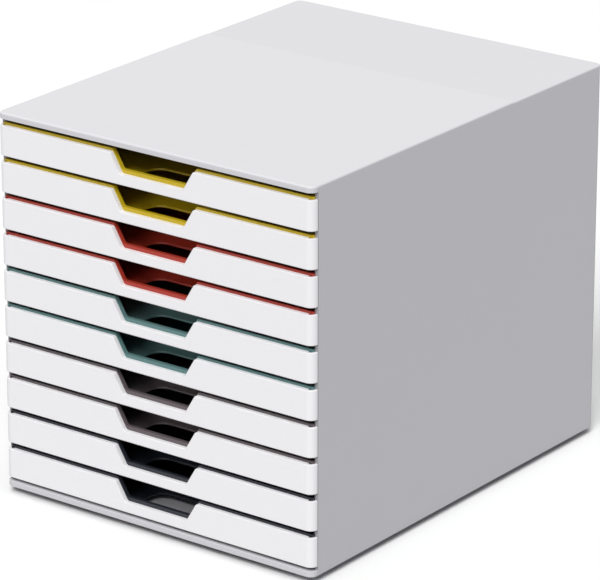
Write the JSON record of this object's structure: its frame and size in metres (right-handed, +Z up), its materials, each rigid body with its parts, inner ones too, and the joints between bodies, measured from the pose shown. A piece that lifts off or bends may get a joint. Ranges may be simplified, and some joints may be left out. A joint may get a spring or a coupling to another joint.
{
  "type": "desktop drawer box",
  "caption": "Closed desktop box of shallow slide-out trays for papers, each tray in its own colour behind a full-width light front with a finger cut-out.",
  "frame": {"origin": "middle of the box in plan, on the surface that the feet stand on", "axes": "+Z up; +Y from the drawer fronts to the rear wall, so the drawers open along -Y; +X to the right as seen from the front"},
  "size_m": [0.28, 0.356, 0.292],
  "materials": {
    "shell_grey": "fine matt moulded polystyrene, light grey",
    "front_white": "smooth satin moulded polystyrene, nearly white",
    "tray_yellow": "satin moulded polystyrene, yellow",
    "tray_red": "satin moulded polystyrene, red",
    "tray_teal": "satin moulded polystyrene, teal",
    "tray_mauve": "satin moulded polystyrene, mauve",
    "tray_charcoal": "satin moulded polystyrene, charcoal",
    "foot_rubber": "matt dark grey rubber"
  },
  "bodies": {
    "casing": {"base_shell": "shell_grey", "left_side_wall": "shell_grey", "right_side_wall": "shell_grey", "rear_wall": "shell_grey", "top_cover": "shell_grey", "foot_front_left": "foot_rubber", "foot_front_right": "foot_rubber", "foot_rear_left": "foot_rubber", "foot_rear_right": "foot_rubber"},
    "drawer_1": {"tray_1": "tray_yellow", "front_1": "front_white"},
    "drawer_2": {"tray_2": "tray_yellow", "front_2": "front_white"},
    "drawer_3": {"tray_3": "tray_red", "front_3": "front_white"},
    "drawer_4": {"tray_4": "tray_red", "front_4": "front_white"},
    "drawer_5": {"tray_5": "tray_teal", "front_5": "front_white"},
    "drawer_6": {"tray_6": "tray_teal", "front_6": "front_white"},
    "drawer_7": {"tray_7": "tray_mauve", "front_7": "front_white"},
    "drawer_8": {"tray_8": "tray_mauve", "front_8": "front_white"},
    "drawer_9": {"tray_9": "tray_charcoal", "front_9": "front_white"},
    "drawer_10": {"tray_10": "tray_charcoal", "front_10": "front_white"}
  },
  "joints": [
    {"name": "drawer_1_slide", "type": "slide", "parent": "casing", "child": "drawer_1", "axis": [0, -1, 0], "range_m": [0, 0.245]},
    {"name": "drawer_2_slide", "type": "slide", "parent": "casing", "child": "drawer_2", "axis": [0, -1, 0], "range_m": [0, 0.245]},
    {"name": "drawer_3_slide", "type": "slide", "parent": "casing", "child": "drawer_3", "axis": [0, -1, 0], "range_m": [0, 0.245]},
    {"name": "drawer_4_slide", "type": "slide", "parent": "casing", "child": "drawer_4", "axis": [0, -1, 0], "range_m": [0, 0.245]},
    {"name": "drawer_5_slide", "type": "slide", "parent": "casing", "child": "drawer_5", "axis": [0, -1, 0], "range_m": [0, 0.245]},
    {"name": "drawer_6_slide", "type": "slide", "parent": "casing", "child": "drawer_6", "axis": [0, -1, 0], "range_m": [0, 0.245]},
    {"name": "drawer_7_slide", "type": "slide", "parent": "casing", "child": "drawer_7", "axis": [0, -1, 0], "range_m": [0, 0.245]},
    {"name": "drawer_8_slide", "type": "slide", "parent": "casing", "child": "drawer_8", "axis": [0, -1, 0], "range_m": [0, 0.245]},
    {"name": "drawer_9_slide", "type": "slide", "parent": "casing", "child": "drawer_9", "axis": [0, -1, 0], "range_m": [0, 0.245]},
    {"name": "drawer_10_slide", "type": "slide", "parent": "casing", "child": "drawer_10", "axis": [0, -1, 0], "range_m": [0, 0.245]}
  ]
}
